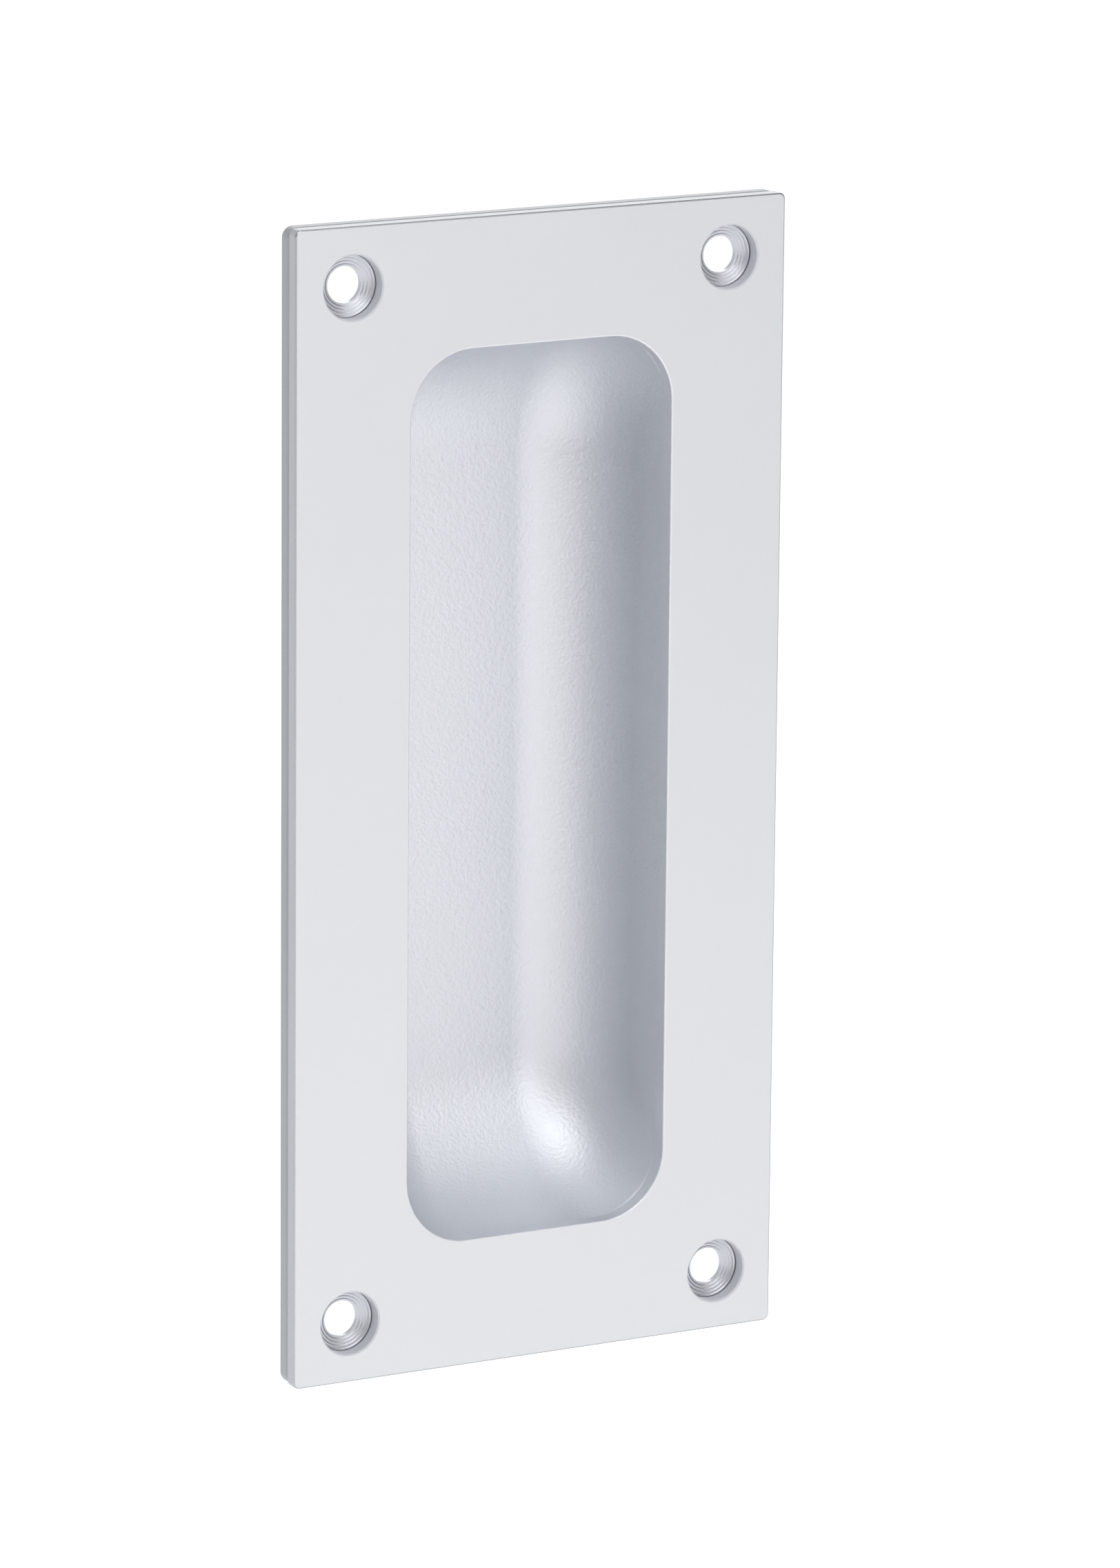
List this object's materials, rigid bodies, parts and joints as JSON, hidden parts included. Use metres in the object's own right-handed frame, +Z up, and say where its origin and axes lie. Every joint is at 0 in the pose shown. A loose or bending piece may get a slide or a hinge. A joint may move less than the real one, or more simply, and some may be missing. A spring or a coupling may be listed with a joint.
{
  "type": "flush pull",
  "caption": "Rectangular recessed flush pull: a flat face plate with a round-cornered window over a drawn finger recess, with a recessed screw hole in each corner.",
  "frame": {"origin": "middle of the screw pattern, in the plane of the flange's back that seats on the door", "axes": "+Y into the door, from the face towards the bottom of the recess; +Z up, along the plate's length; +X to the right for a person facing the door"},
  "size_m": [0.0474, 0.0157, 0.102],
  "materials": {
    "face_aluminium": "satin anodised",
    "pan_aluminium": "fine blasted and satin anodised"
  },
  "bodies": {
    "root": {"front_plate": "face_aluminium", "rear_pan": "pan_aluminium"}
  },
  "joints": []
}
